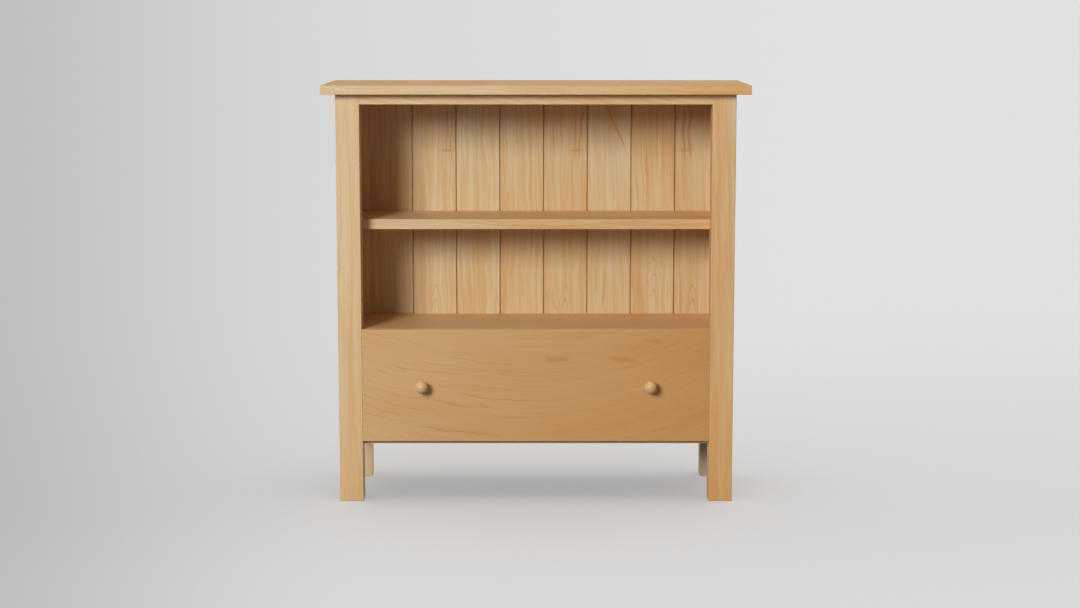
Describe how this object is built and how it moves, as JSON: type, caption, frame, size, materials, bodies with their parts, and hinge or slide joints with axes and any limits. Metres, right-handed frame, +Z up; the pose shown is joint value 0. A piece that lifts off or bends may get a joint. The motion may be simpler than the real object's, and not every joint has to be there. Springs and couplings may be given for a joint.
{
  "type": "low bookcase with drawer",
  "caption": "Low wooden bookcase on square legs: open shelves with a plank back, over a full-width drawer with turned knobs.",
  "frame": {"origin": "on the floor, at the bottom centre of the bounding box, which is under the middle of the top board", "axes": "+Z up; the front with the drawer looks towards -Y; +X is to the right as seen from the front"},
  "size_m": [0.914, 0.336, 0.906],
  "materials": {
    "maple": "satin clear lacquer",
    "maple_planks": "satin clear lacquer",
    "maple_knobs": "satin clear lacquer",
    "inner_wood": "sanded, clear sealer",
    "drawer_box_wood": "sanded, clear sealer",
    "plywood": "sanded, clear sealer",
    "slide_steel": "zinc plated",
    "fastener_steel": "zinc plated"
  },
  "bodies": {
    "carcass": {"back_nails": "fastener_steel", "back_plank_1": "maple_planks", "back_plank_2": "maple_planks", "back_plank_3": "maple_planks", "back_plank_4": "maple_planks", "back_plank_5": "maple_planks", "back_plank_6": "maple_planks", "back_plank_7": "maple_planks", "back_plank_8": "maple_planks", "back_rail_bottom": "inner_wood", "back_rail_middle": "inner_wood", "back_rail_top": "inner_wood", "bottom_rail_front": "maple", "leg_front_left": "maple", "leg_front_right": "maple", "leg_rear_left": "maple", "leg_rear_right": "maple", "lower_shelf": "maple", "middle_shelf": "maple", "shelf_pins": "fastener_steel", "side_panel_left": "maple", "side_panel_right": "maple", "slide_case_member_left": "slide_steel", "slide_case_member_right": "slide_steel", "slide_case_screws": "fastener_steel", "slide_cleat_left": "inner_wood", "slide_cleat_right": "inner_wood", "top_board": "maple", "top_cleat_left": "inner_wood", "top_cleat_right": "inner_wood", "top_rail_front": "maple", "top_screws": "fastener_steel"},
    "drawer": {"drawer_bottom": "plywood", "drawer_box_back": "drawer_box_wood", "drawer_box_front": "drawer_box_wood", "drawer_front": "maple", "drawer_front_screws": "fastener_steel", "drawer_side_left": "drawer_box_wood", "drawer_side_right": "drawer_box_wood", "knob_screws": "fastener_steel", "knobs": "maple_knobs", "slide_drawer_member_left": "slide_steel", "slide_drawer_member_right": "slide_steel", "slide_drawer_screws": "fastener_steel"},
    "slide_middle_left": {"slide_middle_member_left": "slide_steel"},
    "slide_middle_right": {"slide_middle_member_right": "slide_steel"}
  },
  "joints": [
    {"name": "drawer_slide", "type": "slide", "parent": "carcass", "child": "drawer", "axis": [0, -1, 0], "range_m": [0, 0.19]},
    {"name": "slide_middle_left_travel", "type": "slide", "parent": "carcass", "child": "slide_middle_left", "axis": [0, -1, 0], "range_m": [0, 0.095]},
    {"name": "slide_middle_right_travel", "type": "slide", "parent": "carcass", "child": "slide_middle_right", "axis": [0, -1, 0], "range_m": [0, 0.095]}
  ],
  "couplings": [
    {"joint": "slide_middle_left_travel", "follows": "drawer_slide", "ratio": 0.5},
    {"joint": "slide_middle_right_travel", "follows": "drawer_slide", "ratio": 0.5}
  ]
}
